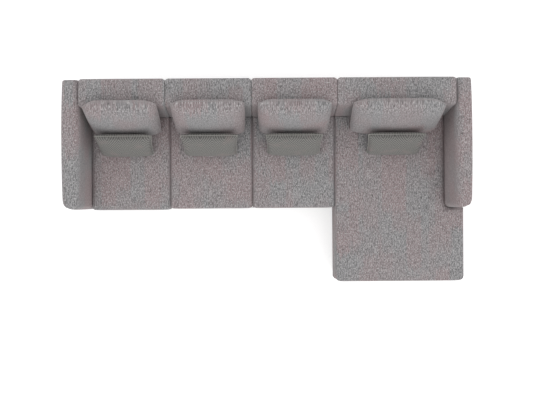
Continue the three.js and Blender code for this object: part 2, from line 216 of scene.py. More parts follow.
def newMaterial(name):
    material = bpy.data.materials.new(name)
    material.use_nodes = True
    material.node_tree.nodes.clear()
    return material, material.node_tree


def cameraRays(tree):  # 1 for what the eye sees directly, in a reflection or through glass
    path = addNode(tree, "ShaderNodeLightPath").outputs
    seen = combine(tree, "MAXIMUM", path["Is Camera Ray"], path["Is Glossy Ray"])
    return combine(tree, "MAXIMUM", seen, path["Is Transmission Ray"])


def addFloor():
    # Matt white studio paper: it stays white to the eye and keeps only the deeper shadows
    material, tree = newMaterial("studio_paper")
    matt = addNode(tree, "ShaderNodeBsdfDiffuse", {"Color": linearColour(studio["floor"])})
    glow = addNode(tree, "ShaderNodeEmission", {"Strength": studio["floorWhite"]})
    both = addNode(tree, "ShaderNodeAddShader", {}, {0: matt.outputs[0], 1: glow.outputs[0]})
    mix = addNode(tree, "ShaderNodeMixShader", {},
                  {0: cameraRays(tree), 1: matt.outputs[0], 2: both.outputs[0]})
    addNode(tree, "ShaderNodeOutputMaterial", {}, {0: mix.outputs[0]})
    deselectAll()
    bpy.ops.mesh.primitive_plane_add(size=studio["floorSize"])
    floor = bpy.context.object
    floor.name = "studio_floor"
    floor.data.materials.append(material)


def addLight():
    world = bpy.data.worlds.new("studio_dome")
    world.use_nodes = True
    tree = world.node_tree
    tree.nodes.clear()
    direction = addNode(tree, "ShaderNodeTexCoord").outputs["Generated"]
    rise = addNode(tree, "ShaderNodeSeparateXYZ", {}, {0: direction}).outputs[2]
    strength = spread(tree, rise, 0.0, 1.0, studio["horizon"], studio["zenith"])
    dome = addNode(tree, "ShaderNodeBackground", {"Color": (1, 1, 1, 1)}, {"Strength": strength})
    white = addNode(tree, "ShaderNodeBackground", {"Color": (1, 1, 1, 1), "Strength": 1.0})
    mix = addNode(tree, "ShaderNodeMixShader", {},
                  {0: cameraRays(tree), 1: dome.outputs[0], 2: white.outputs[0]})
    addNode(tree, "ShaderNodeOutputWorld", {}, {0: mix.outputs[0]})
    scene.world = world
    deselectAll()
    aim = Vector(studio["keyDirection"]).to_track_quat("-Z", "Y").to_euler()
    bpy.ops.object.light_add(type="SUN", location=(1.5, -2.5, 4), rotation=aim)
    key = bpy.context.object
    key.name = "soft_key"
    key.data.energy = studio["key"]
    key.data.angle = math.radians(studio["keyAngle"])


# Materials

sofaCloth = {
    "grey": "#929192",
    "pink": "#9A8D8E",
    "fleck": "#CCC9C9",
    "patches": ((0.118, 0.215), (0.191, 0.347)),  # two sizes of dyed patch, in metres
    "yarnAcross": 0.0064,
    "yarnAlong": 0.022,
    "yarnTone": 0.37,  # how far each kind of thread strays from the dye's own tone
    "streakAcross": 0.006,
    "streakAlong": 0.090,
    "streakTone": 0.26,
    "slub": 0.0042,
    "slubTone": 0.22,
    "dyeRun": 0.055,  # how far the dye frays along the yarns
    "dyeWaver": 0.009,
    "fleckShare": (0.64, 0.74),  # the noise above which a fleck starts and is full
    "fleckCover": 0.75,
    "sideSpeckle": 0.45,  # how much of the speckle is left on upright faces
    "calm": (1.1, 0.85),  # the speckle on grey and on pink
}


def stretchedNoise(tree, place, across, along, detail=2.0, shift=0.0):
    mapping = addNode(tree, "ShaderNodeMapping",
                      {"Scale": (1 / across, 1 / along, 1), "Location": (shift, shift, 0)},
                      {"Vector": place})
    return addNode(tree, "ShaderNodeTexNoise",
                   {"noise_dimensions": "2D", "Scale": 1.0, "Detail": detail},
                   {"Vector": mapping.outputs[0]}).outputs["Fac"]


def swing(tree, noise, amount):  # a noise as a value that swings this far to both sides of zero
    return spread(tree, noise, 0.25, 0.75, -amount, amount)


def mixColour(tree, blend, factor, a, b):
    node = addNode(tree, "ShaderNodeMix", {"data_type": "RGBA", "blend_type": blend})
    for socket, value in ((0, factor), (6, a), (7, b)):
        if hasattr(value, "node"):
            tree.links.new(value, node.inputs[socket])
        else:
            node.inputs[socket].default_value = value
    return node.outputs[2]


def twoTone(tree, pattern, first, second):
    return mixColour(tree, "MIX", pattern, linearColour(first), linearColour(second))


def dyedPatches(tree, u, v, across, along):
    # Random tones in upright rectangles, each column set half a step up
    place = addNode(tree, "ShaderNodeCombineXYZ", {}, {
        "X": combine(tree, "DIVIDE", v, along),
        "Y": combine(tree, "DIVIDE", u, across)}).outputs[0]
    tones = addNode(tree, "ShaderNodeTexBrick",
                    {"Color1": (0, 0, 0, 1), "Color2": (1, 1, 1, 1), "Mortar Size": 0.0,
                     "Scale": 1.0, "Brick Width": 1.0, "Row Height": 1.0}, {"Vector": place})
    return addNode(tree, "ShaderNodeSeparateColor", {}, {0: tones.outputs["Color"]}).outputs[0]


def chenille():
    # Woven polyester chenille, space dyed: soft pink and grey patches whose edges fray along the
    # yarns, under a salt-and-pepper of short slubs with pale flecks. The pile lies flatter on the
    # sides, where it shows less. The slubs are drawn at 6 x 22 mm, as coarse as they need to be to
    # show from above; real ones are 3 mm.
    look = sofaCloth
    material, tree = newMaterial("sofa_chenille")
    place = addNode(tree, "ShaderNodeUVMap", {"uv_map": "cloth"}).outputs[0]
    axes = addNode(tree, "ShaderNodeSeparateXYZ", {}, {0: place})
    frayed = swing(tree, stretchedNoise(tree, place, 0.007, 0.11, 1.0, 3.7), look["dyeRun"])
    waver = swing(tree, stretchedNoise(tree, place, 0.02, 0.02, 1.0, 4.4), look["dyeWaver"])
    u = combine(tree, "ADD", axes.outputs[0], waver)
    v = combine(tree, "ADD", axes.outputs[1], frayed)
    small, large = [dyedPatches(tree, u, v, *size) for size in look["patches"]]
    dye = spread(tree, combine(tree, "ADD", small, large), 0.5, 1.5, 0.0, 1.0)
    tint = twoTone(tree, dye, look["grey"], look["pink"])
    yarns = stretchedNoise(tree, place, look["yarnAcross"], look["yarnAlong"], 1.0)
    slubs = stretchedNoise(tree, place, look["slub"], look["slub"] * 1.6, 2.0, 5.1)
    streaks = stretchedNoise(tree, place, look["streakAcross"], look["streakAlong"], 2.0, 8.2)
    speckle = combine(tree, "ADD", swing(tree, yarns, look["yarnTone"]),
                      swing(tree, slubs, look["slubTone"]))
    speckle = combine(tree, "ADD", speckle, swing(tree, streaks, look["streakTone"]))
    facing = addNode(tree, "ShaderNodeSeparateXYZ", {}, {
        0: addNode(tree, "ShaderNodeTexCoord").outputs["Normal"]}).outputs[2]
    lift = spread(tree, facing, 0.50, 0.92, look["sideSpeckle"], 1.0)
    calm = spread(tree, dye, 0.0, 1.0, *look["calm"])
    speckle = combine(tree, "MULTIPLY", combine(tree, "MULTIPLY", speckle, lift), calm)
    light = combine(tree, "ADD", speckle, 1.0)
    shade = addNode(tree, "ShaderNodeCombineColor", {}, {0: light, 1: light, 2: light}).outputs[0]
    colour = mixColour(tree, "MULTIPLY", 1.0, tint, shade)
    flecks = spread(tree, stretchedNoise(tree, place, 0.0065, 0.012, 0.0, 17.9),
                    *look["fleckShare"], 0.0, look["fleckCover"])
    flecks = combine(tree, "MULTIPLY", flecks, lift)
    colour = mixColour(tree, "MIX", flecks, colour, linearColour(look["fleck"]))
    pile = combine(tree, "ADD", combine(tree, "MULTIPLY", yarns, 0.7),
                   combine(tree, "MULTIPLY", slubs, 0.5))
    bump = addNode(tree, "ShaderNodeBump", {"Strength": 0.5, "Distance": 0.0022}, {"Height": pile})
    cloth = addNode(tree, "ShaderNodeBsdfPrincipled",
                    {"Roughness": 0.92, "IOR": 1.45, "Specular IOR Level": 0.12,
                     "Sheen Weight": 0.20, "Sheen Roughness": 0.45,
                     "Sheen Tint": linearColour("#EFE6E4")},
                    {"Base Color": colour, "Normal": bump.outputs[0]})
    addNode(tree, "ShaderNodeOutputMaterial", {}, {0: cloth.outputs[0]})
    return material


pillowCloth = {
    "dark": "#535451",
    "light": "#979592",
    "blush": "#8D8280",
    "column": 0.095,
    "slope": 1.1,
    "rib": 0.0215,
    "slubTone": 0.3,
}


def herringbone():
    # Herringbone twill in grey-green wool mix: fine diagonal ribs that turn back in columns. Real
    # ribs are 3 mm apart; they are drawn 20 mm apart, as coarse as they need to be to show.
    look = pillowCloth
    material, tree = newMaterial("pillow_herringbone")
    place = addNode(tree, "ShaderNodeUVMap", {"uv_map": "cloth"}).outputs[0]
    axes = addNode(tree, "ShaderNodeSeparateXYZ", {}, {0: place})
    zigzag = combine(tree, "PINGPONG", axes.outputs[0], look["column"])
    climb = combine(tree, "ADD", combine(tree, "MULTIPLY", zigzag, look["slope"]), axes.outputs[1])
    wave = combine(tree, "SINE", combine(tree, "MULTIPLY", climb, 2 * math.pi / look["rib"]), 0.0)
    slubs = stretchedNoise(tree, place, 0.005, 0.008, 2.0, 2.2)
    ribs = combine(tree, "ADD", spread(tree, wave, -1, 1, 0.15, 0.85),
                   swing(tree, slubs, look["slubTone"]))
    colour = twoTone(tree, ribs, look["dark"], look["light"])
    patches = spread(tree, stretchedNoise(tree, place, 0.12, 0.09, 2.0, 6.6), 0.55, 0.75, 0.0, 0.5)
    colour = mixColour(tree, "MIX", patches, colour, linearColour(look["blush"]))
    bump = addNode(tree, "ShaderNodeBump", {"Strength": 0.4, "Distance": 0.0015}, {"Height": ribs})
    cloth = addNode(tree, "ShaderNodeBsdfPrincipled",
                    {"Roughness": 0.9, "IOR": 1.45, "Specular IOR Level": 0.12,
                     "Sheen Weight": 0.12, "Sheen Roughness": 0.5},
                    {"Base Color": colour, "Normal": bump.outputs[0]})
    addNode(tree, "ShaderNodeOutputMaterial", {}, {0: cloth.outputs[0]})
    return material


def objectNoise(tree, scale, stretch=(1, 1, 1), detail=3.0):
    place = addNode(tree, "ShaderNodeTexCoord").outputs["Object"]
    mapping = addNode(tree, "ShaderNodeMapping", {"Scale": stretch}, {"Vector": place})
    return addNode(tree, "ShaderNodeTexNoise", {"Scale": scale, "Detail": detail},
                   {"Vector": mapping.outputs[0]}).outputs["Fac"]


def shaded(material, tree, colour, height, distance, **settings):  # what the hard finishes share
    bump = addNode(tree, "ShaderNodeBump", {"Strength": 0.5, "Distance": distance},
                   {"Height": height})
    surface = addNode(tree, "ShaderNodeBsdfPrincipled", settings,
                      {"Base Color": colour, "Normal": bump.outputs[0]})
    addNode(tree, "ShaderNodeOutputMaterial", {}, {0: surface.outputs[0]})
    return material


def pipingWithPaintedHighlight(name, dark, light):
    # Bias-cut piping, coloured paler than its cover as a painted highlight along the seam: reads as a
    # thin pale line round a cushion
    material, tree = newMaterial(name)
    twist = objectNoise(tree, 220)
    colour = twoTone(tree, twist, dark, light)
    return shaded(material, tree, colour, twist, 0.0008, Roughness=0.88)


def sawnPine():
    # Sawn pine and plywood, unfinished: pale straw with long darker grain
    material, tree = newMaterial("sawn_pine")
    grain = objectNoise(tree, 9, (1, 1, 9), 5.0)
    colour = twoTone(tree, spread(tree, grain, 0.35, 0.7, 0, 1), "#CDAE7E", "#A67F4E")
    return shaded(material, tree, colour, grain, 0.0006, Roughness=0.72)


def elasticWebbing():
    # Woven elastic webbing: coarse slanting ribs, dark grey in a lighter one
    material, tree = newMaterial("elastic_webbing")
    place = addNode(tree, "ShaderNodeTexCoord").outputs["Object"]
    weave = addNode(tree, "ShaderNodeTexWave",
                    {"bands_direction": "DIAGONAL", "Scale": 60.0, "Distortion": 0.4},
                    {"Vector": place}).outputs["Fac"]
    colour = twoTone(tree, weave, "#3A3936", "#5E5B55")
    return shaded(material, tree, colour, weave, 0.0008, Roughness=0.85)


def dustCloth():
    # Spunbond polypropylene, 1 mm felted sheet: matt charcoal with a faint dimple print
    material, tree = newMaterial("spunbond_dust_cloth")
    place = addNode(tree, "ShaderNodeTexCoord").outputs["Object"]
    dimples = addNode(tree, "ShaderNodeTexVoronoi", {"Scale": 180.0, "Randomness": 0.25},
                      {"Vector": place}).outputs["Distance"]
    colour = twoTone(tree, dimples, "#1F1F21", "#343437")
    return shaded(material, tree, colour, dimples, 0.0006, Roughness=0.9)


def stainedBeech():
    # Turned beech, dark stain, satin lacquer: near black brown, fine upright grain, soft gloss
    material, tree = newMaterial("stained_beech")
    grain = objectNoise(tree, 60, (1, 1, 0.08), 4.0)
    colour = twoTone(tree, spread(tree, grain, 0.35, 0.7, 0, 1), "#2B211B", "#463429")
    return shaded(material, tree, colour, grain, 0.0003,
                  **{"Roughness": 0.42, "Coat Weight": 0.3, "Coat Roughness": 0.3})


def zincSteel():
    # Zinc plated steel: cool grey, slightly blotched, satin
    material, tree = newMaterial("zinc_steel")
    spangle = objectNoise(tree, 70, detail=2.0)
    colour = twoTone(tree, spangle, "#9A9DA1", "#B9BBBE")
    return shaded(material, tree, colour, spangle, 0.0002, Roughness=0.38, Metallic=1.0)


def glidePlastic():
    # Moulded polyethylene glide: dull black, worn a little lighter
    material, tree = newMaterial("black_glide")
    wear = objectNoise(tree, 90)
    colour = twoTone(tree, wear, "#1A1A1B", "#2C2C2E")
    return shaded(material, tree, colour, wear, 0.0002, Roughness=0.6)


# The cover's own coordinates, in metres: across and along the top, and on down the sides. Each
# piece is cut from another part of the roll.

rollStep = {"across": 1.37, "along": 0.83, "cut": 0}


def layCloth(piece, shoulder):  # the shoulder is the height that the top edge's rounding takes up
    mesh = piece.data
    places = points(mesh)
    normals = np.empty(len(mesh.polygons) * 3)
    mesh.polygons.foreach_get("normal", normals)
    normals = normals.reshape(-1, 3)
    totals = np.empty(len(mesh.polygons), int)
    mesh.polygons.foreach_get("loop_total", totals)
    corners = np.empty(len(mesh.loops), int)
    mesh.loops.foreach_get("vertex_index", corners)
    facing = np.repeat(normals, totals, axis=0)
    x, y, z = places[corners].T
    drop = places[:, 2].max() - shoulder - z
    across = np.abs(facing[:, 0])
    along = np.abs(facing[:, 1])
    flat = np.abs(facing[:, 2]) >= np.maximum(across, along)
    side = ~flat & (across >= along)
    end = ~flat & ~side
    u = x + np.where(side, np.sign(facing[:, 0]) * drop, 0)
    v = y + np.where(end, np.sign(facing[:, 1]) * drop, 0)
    rollStep["cut"] += 1
    u = u + rollStep["cut"] * rollStep["across"]
    v = v + rollStep["cut"] * rollStep["along"]
    layer = mesh.uv_layers.get("cloth") or mesh.uv_layers.new(name="cloth")
    layer.data.foreach_set("uv", np.column_stack((u, v)).ravel())


sewnSeam = {"depth": 0.0025, "width": 0.005}


def pressSeam(piece, distance):  # sinks a sewn line where the distance is least
    mesh = piece.data
    normals = np.empty(len(mesh.vertices) * 3)
    mesh.vertices.foreach_get("normal", normals)
    places = points(mesh)
    sink = sewnSeam["depth"] * np.exp(-((distance(places) / sewnSeam["width"]) ** 2))
    setPoints(piece, places - normals.reshape(-1, 3) * sink[:, None])


# Stuffing: every soft piece waits here and all of them swell in one run of the cloth simulation

stuffing = []
swelling = {"frames": 20, "quality": 5, "mostStretch": 3}


def stuff(piece, look, hold=None, box=None):
    rest = points(piece.data)
    group = piece.vertex_groups.new(name="held")
    if hold is not None:
        held = np.nonzero(hold(rest))[0].tolist()
        group.add(held, 1.0, "REPLACE")
    stuffing.append((piece, rest, look["cap"], box))
    cloth = piece.modifiers.new("cloth", "CLOTH").settings
    cloth.quality = swelling["quality"]
    cloth.use_pressure = True
    cloth.uniform_pressure_force = look["pressure"]
    cloth.effector_weights.gravity = 0
    cloth.tension_stiffness = cloth.compression_stiffness = look["stiffness"]
    if hold is not None:
        cloth.vertex_group_mass = "held"


def fillBox(rest, move, low, high):  # scales the swelling so that it just reaches its box
    for axis in range(3):
        for side, face in ((-1, low[axis]), (1, high[axis])):
            outward = side * move[:, axis]
            edge = (side * rest[:, axis]).max()
            beyond = (side * rest[:, axis] + outward).max() - edge
            if beyond > 0.00001:
                reach = max(0, side * face - edge) / beyond
                move[outward > 0, axis] *= min(swelling["mostStretch"], reach)


def swellAll():
    scene.frame_start = 1
    scene.frame_end = swelling["frames"]
    for number in range(scene.frame_start, scene.frame_end + 1):
        scene.frame_set(number)
    graph = bpy.context.evaluated_depsgraph_get()
    swollen = [points(piece.evaluated_get(graph).data) for piece, rest, cap, box in stuffing]
    for (piece, rest, cap, box), places in zip(stuffing, swollen):
        piece.modifiers.clear()
        move = places - rest
        length = np.linalg.norm(move, axis=1, keepdims=True) + 1e-9
        move *= cap * np.tanh(length / cap) / length  # no piece swells past its cap
        if box:
            fillBox(rest, move, *box)
        setPoints(piece, rest + move)
        piece.vertex_groups.remove(piece.vertex_groups["held"])
    scene.frame_set(scene.frame_start)


scene.view_settings.view_transform = "Standard"
addCamera()
addFloor()
addLight()
print("camera, floor and light are in place")

fabric = chenille()
twill = herringbone()
# the piping colours are paler than the covers: a painted highlight along the seams
cushionPipingHighlight = pipingWithPaintedHighlight("cushion_piping_highlight", "#918A8B", "#ACA6A6")
pillowPipingHighlight = pipingWithPaintedHighlight("pillow_piping_highlight", "#8C8C85", "#A9A8A4")
pine = sawnPine()
strap = elasticWebbing()
underside = dustCloth()
legWood = stainedBeech()
steel = zincSteel()
glide = glidePlastic()
print("materials are mixed")


# Seats, backs and arms: foam blocks under fitted covers. The values of each say how far each kind
# of edge is rounded, how far apart its edge loops are (step) and how far its seam is from the edge.

foam = {"pressure": 0.10, "stiffness": 15, "cap": 0.020}
edgeFacets = 5
shoulderShare = 0.3
atFace = 0.01  # an edge or a point this close to a block's face lies in it
hair = 0.0004  # left between two covers that touch
seatDeep = 0.010  # the seats and backs meet this far behind the middle of their gap
backLean = 0.058  # how far a back's front face leans from the seat to its top
armLean = 0.026
armAhead = 0.008  # the padding stands out in front of the arm
seatsOut = 0.016  # the seats end this much further out beside the chaise's arm
leftShort = 0.018  # and this much less far out beside the left one
armLow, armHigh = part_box("arm_cover_chaise")
armLow.y -= armAhead
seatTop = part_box("seat_cushion_left")[1].z
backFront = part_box("back_cover_left")[0].y
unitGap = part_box("seat_cushion_inner_left")[0].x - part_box("seat_cushion_left")[1].x
closing = (unitGap - hair) / 2  # covers are drawn out to the seams until they all but touch
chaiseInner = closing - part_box("seat_cushion_left")[0].x + seatsOut  # where the seats end
leftInner = chaiseInner - leftShort
armInner = chaiseInner + hair


def near(places, axis, place):
    return np.abs(places[:, axis] - place) < 0.001


def slicePiece(piece, axis, place):  # an edge loop straight across the piece
    normal = [0, 0, 0]
    normal[axis] = 1
    makeActive(piece)
    bpy.ops.object.mode_set(mode="EDIT")
    bpy.ops.mesh.select_all(action="SELECT")
    bpy.ops.mesh.bisect(plane_co=[place * share for share in normal], plane_no=normal)
    leaveEdit()


def sliceEvenly(piece, step, margins):  # edge loops a step apart, clear of the rounded edges
    places = points(piece.data)
    for axis in range(3):
        low = places[:, axis].min() + margins[axis]
        high = places[:, axis].max() - margins[axis]
        count = max(1, round((high - low) / step))
        for number in range(count + 1):
            slicePiece(piece, axis, low + (high - low) * number / count)


def widenFront(block, notch, low, high):  # the chaise is as wide as its arm in front of the arm
    slicePiece(block, 1, notch)
    choose(block, "FACE", lambda face: face.normal.x > 0.9 and middle(face).y < notch)
    bpy.ops.mesh.extrude_region_move(TRANSFORM_OT_translate={"value": (high.x - low.x, 0, 0)})
    leaveEdit()


def roundEdges(piece, widths):  # pairs of a test and how far the edges that it picks are rounded
    widest = max(width for test, width in widths)
    for test, width in widths:
        choose(piece, "EDGE", lambda edge: edge.calc_face_angle(0) > 0.9 and test(edge))
        bpy.ops.transform.edge_bevelweight(value=width / widest)
        leaveEdit()
    applyModifier(piece, "BEVEL", width=widest, segments=edgeFacets, limit_method="WEIGHT", profile=0.5,
                  use_clamp_overlap=False)


def leanTop(piece, test, value):
    choose(piece, "VERT", test)
    bpy.ops.transform.translate(value=value)
    leaveEdit()


seatForward = {"left": 0.010, "inner_left": 0.002, "inner_right": 0.001, "chaise": 0.006}
seatBlock = {
    "room": 0.002,
    "crown": 0.009,
    "top": 0.014,
    "seamEdge": 0.026,
    "armEdge": 0.040,
    "rearEdge": 0.008,
    "foot": 0.010,
    "front": 0.030,
    "rear": 0.005,
    "notch": 0.048,
    "chaiseFront": 0.046,
    "chaiseOuter": 0.062,
    "step": 0.016,
    "seam": 0.022,
}


def makeSeat(unit):
    look = seatBlock
    node = f"seat_cushion_{unit}"
    low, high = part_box(node)
    low.x = -leftInner if unit == "left" else low.x - closing
    high.y += closing + seatDeep
    low.y -= seatForward[unit]
    notch = armLow.y - hair
    corner = look["front"]
    start = low + Vector((0, look["room"], 0))
    if unit == "chaise":
        end = high - Vector((look["room"], 0, look["crown"]))
        inner = Vector((chaiseInner, end.y, end.z))
        block = addBlock("fitted_" + node, start, inner)
        widenFront(block, notch, inner, end)
        corner = look["chaiseFront"]
    else:
        high.x += closing
        end = high - Vector((0, 0, look["crown"]))
        block = addBlock("fitted_" + node, start, end)
    inFront = lambda e: middle(e).y < start.y + atFace
    isOuter = lambda e: middle(e).x > chaiseInner + atFace
    isTop = lambda e: middle(e).z > end.z - atFace
    isFoot = lambda e: middle(e).z < low.z + atFace
    isFree = lambda e: inFront(e) or (
        unit == "chaise" and middle(e).x > end.x - atFace and middle(e).y < notch - atFace)
    isRear = lambda e: middle(e).y > high.y - atFace
    inNotch = lambda e: abs(middle(e).x - chaiseInner) < atFace and abs(middle(e).y - notch) < atFace
    byArm = lambda e: not isFree(e) and not isRear(e) and (
        middle(e).x > chaiseInner - atFace or (unit == "left" and middle(e).x < low.x + atFace))
    roundEdges(block, (
        (lambda e: upright(e) and inFront(e) and not isOuter(e), corner),
        (lambda e: upright(e) and inFront(e) and isOuter(e), look["chaiseOuter"]),
        (lambda e: upright(e) and inNotch(e), look["notch"]),
        (lambda e: upright(e) and not inFront(e) and not inNotch(e), look["rear"]),
        (lambda e: isTop(e) and isFree(e), look["top"]),
        (lambda e: isTop(e) and byArm(e), look["armEdge"]),
        (lambda e: isTop(e) and isRear(e), look["rearEdge"]),
        (lambda e: isTop(e) and not isFree(e) and not isRear(e) and not byArm(e), look["seamEdge"]),
        (isFoot, look["foot"])))
    sliceEvenly(block, look["step"], [look["seamEdge"]] * 3)
    slicePiece(block, 2, end.z - look["seam"])
    right = chaiseInner if unit == "chaise" else high.x
    band = look["top"] * 1.05  # the sewn edges keep their line
    stuff(block, foam, lambda p: (
        (p[:, 2] < low.z + look["foot"]) | near(p, 0, low.x) | near(p, 0, right) | near(p, 1, high.y)
        | near(p, 1, notch) | ((p[:, 2] > end.z - band) & (
            (p[:, 1] < start.y + band) | ((p[:, 0] > end.x - band) & (p[:, 1] < notch))))), (low, high))
    return block


backBlock = {
    "room": 0.003,
    "top": 0.030,
    "rearTop": 0.014,
    "rearBand": 0.05,
    "seamEdge": 0.012,
    "foot": 0.008,
    "front": 0.024,
    "lowFront": 0.003,
    "rear": 0.022,
    "step": 0.016,
    "seam": 0.009,
}


def makeBack(unit):
    look = backBlock
    node = f"back_cover_{unit}"
    low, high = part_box(node)
    low -= Vector((closing, closing - seatDeep, 0))
    high.x += closing
    leftFoot = -leftInner if unit == "left" else low.x
    rightFoot = chaiseInner if unit == "chaise" else high.x
    if unit == "chaise":
        high.x = chaiseInner + armLean
    room = Vector((0, look["room"], look["room"]))
    start = Vector((leftFoot, low.y, low.z))
    end = Vector((rightFoot, high.y, high.z)) - room
    block = addBlock("fitted_" + node, start, end)
    slicePiece(block, 2, seatTop)
    atTop = lambda v: v.co.z > end.z - atFace
    leanTop(block, lambda v: atTop(v) and v.co.x < start.x + atFace, (low.x - leftFoot, 0, 0))
    leanTop(block, lambda v: atTop(v) and v.co.x > end.x - atFace, (high.x - rightFoot, 0, 0))
    leanTop(block, lambda v: atTop(v) and v.co.y < start.y + atFace, (0, backLean, 0))
    inFront = lambda e: upright(e) and middle(e).y < start.y + backLean
    isTop = lambda e: middle(e).z > end.z - atFace
    isRear = lambda e: middle(e).y > end.y - look["rearBand"]
    isSeam = lambda e: abs(middle(e).x - (low.x + high.x) / 2) > 0.1  # at either end of the back
    roundEdges(block, (
        (lambda e: inFront(e) and middle(e).z > seatTop, look["front"]),
        (lambda e: inFront(e) and middle(e).z < seatTop, look["lowFront"]),
        (lambda e: upright(e) and not inFront(e), look["rear"]),
        (lambda e: isTop(e) and not isSeam(e) and not isRear(e), look["top"]),
        (lambda e: isTop(e) and not isSeam(e) and isRear(e), look["rearTop"]),
        (lambda e: isTop(e) and isSeam(e), look["seamEdge"]),
        (lambda e: middle(e).z < low.z + atFace, look["foot"])))
    sliceEvenly(block, look["step"], [look["top"]] * 3)
    rise = lambda p: np.clip((p[:, 2] - seatTop) / (end.z - seatTop), 0, 1)
    stuff(block, foam, lambda p: (
        (p[:, 2] < low.z + look["foot"]) | ((p[:, 2] < seatTop) & near(p, 1, low.y))
        | ((p[:, 2] > end.z - look["rearTop"]) & (p[:, 1] > end.y - look["rearTop"]))
        | near(p, 0, leftFoot + (low.x - leftFoot) * rise(p))
        | near(p, 0, rightFoot + (high.x - rightFoot) * rise(p))), (low, high))
    return block


armBlock = {
    "room": 0.003,
    "top": 0.050,
    "outerTop": 0.018,
    "foot": 0.008,
    "front": 0.056,
    "outerFront": 0.082,
    "lowFront": 0.018,
    "rear": 0.020,
    "hidden": 0.030,  # the inner face is square from this far below the seat's top
    "outerFrom": 0.06,
    "bow": 0.010,
    "step": 0.015,
    "seam": 0.014,
}


def makeArm():  # the chaise's arm; the left one is its mirror image
    look = armBlock
    start = Vector((armInner, armLow.y + look["room"], armLow.z))
    end = armHigh - Vector((look["room"], look["room"], look["room"]))
    hidden = seatTop - look["hidden"]
    block = addBlock("fitted_arm_cover_chaise", start, end)
    slicePiece(block, 2, hidden)
    leanTop(block, lambda v: v.co.z > end.z - atFace and v.co.x < start.x + atFace, (armLean, 0, 0))
    isTop = lambda e: middle(e).z > end.z - atFace
    atFront = lambda e: middle(e).y < start.y + atFace
    isHidden = lambda e: middle(e).z < hidden and middle(e).x < start.x + atFace
    isOuter = lambda e: middle(e).x > start.x + look["outerFrom"]
    roundEdges(block, (
        (lambda e: upright(e) and atFront(e) and not isHidden(e) and not isOuter(e), look["front"]),
        (lambda e: upright(e) and atFront(e) and isOuter(e), look["outerFront"]),
        (lambda e: upright(e) and atFront(e) and isHidden(e), look["lowFront"]),
        (lambda e: upright(e) and not atFront(e), look["rear"]),
        (lambda e: isTop(e) and not isOuter(e), look["top"]),
        (lambda e: isTop(e) and isOuter(e), look["outerTop"]),
        (lambda e: middle(e).z < start.z + atFace, look["foot"])))
    sliceEvenly(block, look["step"], [look["top"], look["front"], look["top"]])
    lean = lambda p: armInner + armLean * np.clip((p[:, 2] - seatTop) / (end.z - seatTop), 0, 1)
    stuff(block, foam, lambda p: (
        (p[:, 2] < start.z + look["foot"])
        | (near(p, 0, lean(p)) & ((p[:, 2] < seatTop) | (p[:, 1] > backFront)))),
        (Vector((armInner, armLow.y, armLow.z)), armHigh))
    return block


def bowOut(arm):  # an arm's outer face is fullest in the middle
    places = points(arm.data)
    along = 2 * (places[:, 1] - armLow.y) / (armHigh.y - armLow.y) - 1
    across = np.clip((places[:, 0] - armInner) / (armHigh.x - armInner), 0, 1)
    places[:, 0] -= armBlock["bow"] * np.abs(along) ** 2.5 * across
    setPoints(arm, places)


seats = {unit: makeSeat(unit) for unit in unitNames}
backs = {unit: makeBack(unit) for unit in unitNames}
rightArm = makeArm()
print("foam blocks are cut")


# Loose cushions and pillows: two panels sewn together, filled by the simulation

looseCushion = {
    "node": "back_cushion_",
    "body": "loose_cushion_",
    "height": 0.478,
    "fill": 0.150,  # front to rear at the middle
    "tilt": 27.0,
    "frontShare": 0.72,  # how much of the filling bulges forward
    "full": 0.90,  # under 1 the front is fuller near its edges
    "heavy": -0.25,  # over 0 the filling sinks down
    "belly": 0.012,  # in front of and behind the place that the cushion was planned for
    "ahead": -0.008,
    "low": 0.006,
    "overcut": 0.995,
    "waist": -0.008,
    "taper": 0.008,
    "tuck": 0.012,
    "sides": 5.0,  # how squarely the filling ends at the sides, and at top and foot
    "ends": 4.0,
    "welt": 0.0030,
    "step": 0.0092,
    "band": 0.004,
    "pressure": 0.28,
    "stiffness": 25,
    "cap": 0.030,
    # How far the two top corners droop and spread, left and right as seen from in front
    "droop": {"left": (0.078, 0.048), "inner_left": (0.046, 0.036),
              "inner_right": (0.042, 0.038), "chaise": (0.046, 0.078)},
    "spread": {"left": (0.014, 0.0), "inner_left": (0.004, 0.002),
               "inner_right": (0.002, 0.004), "chaise": (0.0, 0.012)},
}
lumbarPillow = {
    "node": "lumbar_pillow_",
    "body": "loose_pillow_",
    "height": 0.282,
    "fill": 0.142,
    "tilt": 35.0,
    "frontShare": 0.60,
    "full": 0.60,
    "heavy": 0.10,
    "belly": 0.009,
    "ahead": 0.011,
    "low": 0.004,
    "overcut": 0.985,
    "waist": 0.006,
    "taper": 0.012,
    "tuck": 0.0,
    "sides": 6.0,
    "ends": 3.0,
    "welt": 0.0034,
    "step": 0.0080,
    "band": 0.004,
    "pressure": 0.35,
    "stiffness": 25,
    "cap": 0.030,
    "droop": {"left": (0.004, 0.006), "inner_left": (0.006, 0.004),
              "inner_right": (0.003, 0.006), "chaise": (0.005, 0.004)},
    "spread": {},
}
shiftLeft = {"left": 0.016}  # the end unit's cushions stand a little nearer to the arm
droopFrom = 0.62  # of the way from the middle to the side seam
tuckFrom = 0.75
startFill = 0.38  # how much of the filling the panels start with
fillRise = 0.65  # under 1 it rises steeply from the seam


